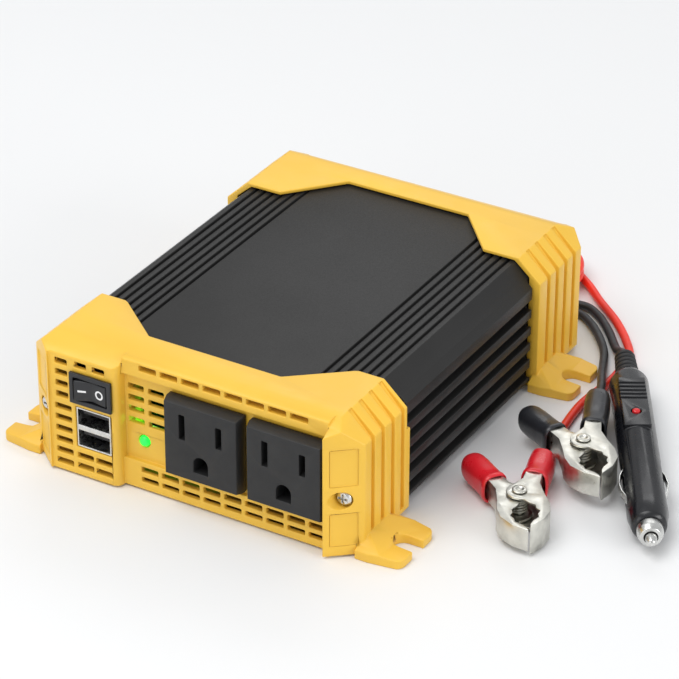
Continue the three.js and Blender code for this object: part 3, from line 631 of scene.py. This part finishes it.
def clip_spring(name, clip):
    """A torsion spring of four turns round the rivet, with its legs along the two handles."""
    wire, radius, low, high = 0.4, 2.7, 4.3, 8.7
    turns, steps, first = 4, 16, 110
    leg, inset = 8.0, 2.0
    u, v = on_handle(leg, -inset)
    points = [(u, v, low)]
    for i in range(turns * steps + 1):
        angle = math.radians(first + i * 360 / steps)
        z = low + (high - low) * i / (turns * steps)
        points.append((radius * math.cos(angle), radius * math.sin(angle), z))
    points.append((u, -v, high))
    line = [clip_matrix(clip) @ Vector(point) for point in points]
    piece = add_wire(name + "_clip_spring_coil", line, wire * CLIP_SCALE, 3, "clip_steel")
    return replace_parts(piece, name + "_clip_spring")


def clip_rivet(name, clip):
    profile = [
        (0.9, 0.3), (0.9, 0.15), (2.5, 0.15), (2.5, 0.75), (1.45, 0.75), (1.45, 12.25), (2.5, 12.25),
        (2.5, 12.7), (1.5, 12.95), (0.9, 12.5), (0.0, 12.3),
    ]
    mesh = spun(rounded([(0, 0.3), *profile], 0.25), clip_matrix(clip), 32)
    node = name + "_clip_rivet"
    return smooth(stand_for(node + "_finish", node, mesh))


GRIP = {"mouth": 11, "half": 4.6, "wall": 0.7, "z": 6.5, "end": 30}
GRIP_SIDES = 40


def grip_stations(height, end, neck_z):
    """A sleeve's sections as (distance, half width, half height, middle height, squareness)."""
    mouth, half, wall, z = GRIP["mouth"], GRIP["half"], GRIP["wall"], GRIP["z"]
    inside = [
        (mouth + 7, half - wall, height - wall, z, 3), (mouth, half - wall, height - wall, z, 3),
    ]
    barrel = [
        (mouth - 0.1, half - 0.3, height - 0.3, z, 3), (mouth + 0.3, half, height, z, 3),
        (mouth + 1.6, half + 0.05, height, z, 3), (mouth + 2.2, half - 0.25, height - 0.2, z, 3),
        (mouth + 6, half - 0.25, height - 0.15, z, 2.8), (end - 8, half - 0.1, height - 0.1, z, 2.7),
        (end - 4.6, half - 0.2, height - 0.25, z, 2.6),
    ]
    if neck_z is None:  # a dome
        steps = [math.radians(15 * k) for k in range(1, 6)]
        dome = [
            (
                end - 4.6 + 4.6 * math.sin(a), (half - 0.2) * math.cos(a),
                (height - 0.25) * math.cos(a), z, 2.4,
            )
            for a in steps
        ]
        return [*inside, *barrel, *dome, (end, 0.02, 0.02, z, 2)]
    neck = [  # a boot that narrows to the lead
        (end - 3.6, 3.6, height * 0.78, (z + neck_z) / 2, 2.3), (end - 1.8, 2.5, 2.9, neck_z + 0.3, 2),
        (end - 1.0, 2.2, 2.3, neck_z, 2), (end, 2.15, 2.15, neck_z, 2), (end + 0.1, 1.9, 1.9, neck_z, 2),
        (end, 1.5, 1.5, neck_z, 2), (end - 2, 1.4, 1.4, neck_z, 2),
    ]
    return [*inside, *barrel, *neck]


def signed_power(value, exponent):
    return math.copysign(abs(value) ** exponent, value)


def grip(name, clip, part, side, height, end, neck_z=None):
    """The soft sleeve of one handle, on the +1 or -1 side of a clip."""
    bm = bmesh.new()
    rings = []
    for distance, a, b, z, square in grip_stations(height, end, neck_z):
        ring = []
        for i in range(GRIP_SIDES):
            angle = 2 * math.pi * i / GRIP_SIDES
            aside = a * signed_power(math.cos(angle), 2 / square)
            up = b * signed_power(math.sin(angle), 2 / square)
            u, v = on_handle(distance, aside)
            ring.append(bm.verts.new((u, side * v, z + up)))
        rings.append(ring)
    for low, high in zip(rings, rings[1:]):
        for i in range(GRIP_SIDES):
            j = (i + 1) % GRIP_SIDES
            bm.faces.new((low[i], low[j], high[j], high[i]))
    bm.faces.new(rings[0])
    bm.faces.new(rings[-1])
    bmesh.ops.recalc_face_normals(bm, faces=bm.faces)
    node = f"{name}_clip_{part}_grip"
    mesh = bpy.data.meshes.new(node)
    bm.to_mesh(mesh)
    bm.free()
    mesh.transform(Matrix.Scale(0.001, 4) @ clip_matrix(clip))
    return smooth(stand_for(node + "_finish", node, mesh), 60)


HANDLE_HIDDEN = 24.5  # the steel ends here, well inside its sleeve


def jaw(name, clip, part, side):
    """One pressed steel jaw, with its handle cut off short inside the sleeve."""
    node = f"{name}_clip_{part}_jaw"
    mesh = merged(node)
    u, v = on_handle(HANDLE_HIDDEN)
    matrix = clip_matrix(clip)
    outward = Vector((-math.cos(HANDLE_SLOPE), side * math.sin(HANDLE_SLOPE), 0))
    bm = bmesh.new()
    bm.from_mesh(mesh)
    made = bmesh.ops.bisect_plane(
        bm, geom=[*bm.verts, *bm.edges, *bm.faces], dist=1e-7, clear_outer=True,
        plane_co=metres(matrix @ Vector((u, side * v, 0))), plane_no=matrix.to_3x3() @ outward,
    )
    rim = [item for item in made["geom_cut"] if isinstance(item, bmesh.types.BMEdge)]
    bmesh.ops.holes_fill(bm, edges=rim, sides=0)
    bm.to_mesh(mesh)
    bm.free()
    return soften(stand_for(node + "_finish", node, mesh), 0.16, 2, 28)


def add_clip(name, clip):
    return [
        jaw(name, clip, "fixed", 1), jaw(name, clip, "moving", -1),
        grip(name, clip, "fixed", 1, 6.4, clip["boot"], clip["height"]),
        grip(name, clip, "moving", -1, 5.3, GRIP["end"]),
        clip_rivet(name, clip), clip_spring(name, clip),
    ]


clip_pieces = {name: add_clip(name, clip) for name, clip in CLIPS.items()}

# ---------- glands ----------
BUSH = [
    (1.5, 0.0), (2.9, 0.0), (2.9, 3.2), (4.2, 3.2), (4.2, 4.4), (2.6, 6.4), (2.0, 7.4), (1.5, 7.4),
]


def add_gland(name, x):
    """A rubber bush round a lead, where the lead leaves the rear cap."""
    outward = Matrix.Rotation(math.radians(-90), 4, "X")
    stand = Matrix.Translation((x, GLAND_Y, GLAND_Z)) @ outward
    node = name + "_lead_gland"
    smooth(stand_for(node + "_finish", node, spun(rounded(BUSH, 0.3), stand, closed=True)))


for lead_name, lead in LEADS.items():
    add_gland(lead_name, lead["gland_x"])

# ---------- case, outlets, ports and insides ----------
EDGES = {
    "front_cap": 0.35, "rear_cap": 0.35, "body_extrusion": 0.22,
    "outlet_left": 0.3, "outlet_right": 0.3, "switch_frame": 0.3, "switch_rocker": 0.35,
    "usb_shell": 0.1, "usb_tongue_lower": 0.1, "usb_tongue_upper": 0.1,
    "main_board": 0.1, "transformer_core": 0.3, "transformer_winding": 0.5,
    "transistor_row": 0.2, "heat_spreader": 0.2, "blade_fuse": 0.3, "fan_frame": 0.3,
    "capacitor_1": 0.4, "capacitor_2": 0.4, "fan_rotor": 0.15, "led_lens": 0.2,
}
for node, width in EDGES.items():
    refined(node, width, 2 if width < 0.3 else 3)
for end in ("front", "rear"):
    for side in ("left", "right"):
        refined(f"cap_screw_{end}_{side}", 0.12, 2, 28)
for side in ("left", "right"):
    for pole in ("neutral", "hot"):
        refined(f"outlet_{side}_{pole}_contact", 0.1, 2)

# ---------- marks on the rocker ----------
ROCKER = {"pivot": (-32.35, -74.2, 31.9), "tilt": 6, "slope": 13.3, "middle": (2.9, -2.64)}


def rocker_face(side):
    """The frame of one half of the rocker's face: X along it, and Z out of it."""
    x, y = ROCKER["middle"]
    turn = Matrix.Rotation(math.radians(ROCKER["tilt"]), 4, "Z")
    lean = Matrix.Rotation(math.radians(-side * ROCKER["slope"]), 4, "Z")
    out = Matrix.Rotation(math.radians(90), 4, "X")
    return Matrix.Translation(ROCKER["pivot"]) @ turn @ Matrix.Translation((side * x, y, 0)) @ lean @ out


def rocker_mark(name, side, outline, hole=None):
    """A thin printed mark on the rocker, from its outline and the outline of its hole."""
    bm = bmesh.new()
    rise = 0.04
    loops = [[bm.verts.new((x, y, rise)) for x, y in outline]]
    if hole:
        loops.append([bm.verts.new((x, y, rise)) for x, y in hole])
        count = len(outline)
        for i in range(count):
            j = (i + 1) % count
            bm.faces.new((loops[0][i], loops[0][j], loops[1][j], loops[1][i]))
    else:
        bm.faces.new(loops[0])
    made = bmesh.ops.extrude_face_region(bm, geom=bm.faces[:])
    lowered = [v for v in made["geom"] if isinstance(v, bmesh.types.BMVert)]
    bmesh.ops.translate(bm, verts=lowered, vec=(0, 0, -rise * 3))
    bmesh.ops.recalc_face_normals(bm, faces=bm.faces)
    mesh = bpy.data.meshes.new(name)
    bm.to_mesh(mesh)
    bm.free()
    mesh.transform(Matrix.Scale(0.001, 4) @ rocker_face(side))
    place(name, mesh, "rocker", "black_plastic", WHITE_MARK)


def ring_points(radius, count=32):
    steps = [2 * math.pi * i / count for i in range(count)]
    return [(radius * math.cos(a), radius * math.sin(a)) for a in steps]


rocker_mark("switch_mark_on", -1, [(-1.3, -0.32), (1.3, -0.32), (1.3, 0.32), (-1.3, 0.32)])
rocker_mark("switch_mark_off", 1, ring_points(1.5), ring_points(0.95))

# ---------- USB contacts ----------


def add_strips(name, boxes, slot):
    """Several small blocks as one piece, each given as two corners in millimetres."""
    bm = bmesh.new()
    for low, high in boxes:
        made = bmesh.ops.create_cube(bm, size=1)["verts"]
        size = [b - a for a, b in zip(low, high)]
        middle = [(a + b) / 2 for a, b in zip(low, high)]
        bmesh.ops.scale(bm, vec=size, verts=made)
        bmesh.ops.translate(bm, vec=middle, verts=made)
    mesh = bpy.data.meshes.new(name)
    bm.to_mesh(mesh)
    bm.free()
    mesh.transform(Matrix.Scale(0.001, 4))
    return soften(place(name, mesh, "root", slot), 0.06, 2)


for level in ("lower", "upper"):
    (x0, y0, z0), (x1, y1, z1) = (corner * 1000 for corner in map(Vector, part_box(f"usb_tongue_{level}")))
    middle = (x0 + x1) / 2
    under = z1 - 1.62
    strips = [
        ((middle + k * 2.3 - 0.5, y0 + 0.5, under), (middle + k * 2.3 + 0.5, y1 - 1.9, under + 0.2))
        for k in (-1.5, -0.5, 0.5, 1.5)
    ]
    add_strips(f"usb_contacts_{level}", strips, "brass")

# ---------- floor, light and background ----------


def add_floor():
    mesh = bpy.data.meshes.new("floor")
    half = 4.0
    corners = [(-half, -half, 0), (half, -half, 0), (half, half, 0), (-half, half, 0)]
    mesh.from_pydata(corners, [], [(0, 1, 2, 3)])
    floor = bpy.data.objects.new("floor", mesh)
    scene.collection.objects.link(floor)
    paper = Nodes("floor_paper")
    paper.colour(paper.noise(3, 2), (0.8, 0.803, 0.806), (0.815, 0.818, 0.822))
    paper.roughness(paper.noise(40, 2), 0.7, 0.85)
    mesh.materials.append(paper.material)


def add_area(name, at, aim, size, watts):
    data = bpy.data.lights.new(name, "AREA")
    data.shape = "RECTANGLE"
    data.size, data.size_y = size
    data.energy = watts
    light = bpy.data.objects.new(name, data)
    turn = (Vector(aim) - Vector(at)).to_track_quat("-Z", "Y")
    light.matrix_world = Matrix.Translation(at) @ turn.to_matrix().to_4x4()
    scene.collection.objects.link(light)


def add_glow(name, at, colour, watts):
    """The light that an indicator throws inside the case."""
    data = bpy.data.lights.new(name, "POINT")
    data.energy = watts
    data.color = colour
    data.shadow_soft_size = 0.0015
    light = bpy.data.objects.new(name, data)
    light.location = metres(at)
    scene.collection.objects.link(light)


def add_world(strength):
    world = bpy.data.worlds.new("studio")
    world.use_nodes = True
    background = world.node_tree.nodes["Background"]
    background.inputs["Color"].default_value = (0.97, 0.985, 1.0, 1)
    background.inputs["Strength"].default_value = strength
    scene.world = world


add_floor()
add_world(0.62)
add_area("key", (-0.2, -0.4, 1.1), (0, 0, 0.02), (0.8, 0.8), 7.5)
add_area("fill_front", (-0.2, -1.3, 0.35), (0, 0, 0.03), (0.9, 0.5), 1.9)
add_area("fill_right", (1.25, -0.1, 0.45), (0, 0, 0.03), (0.7, 0.5), 5)
add_area("rim", (-0.35, 1.0, 0.9), (0, 0, 0.03), (0.9, 0.4), 2)
add_glow("indicator_glow", (-17.3, -66, 22), (0.16, 1.0, 0.12), 0.0015)
scene.view_settings.view_transform = "Standard"
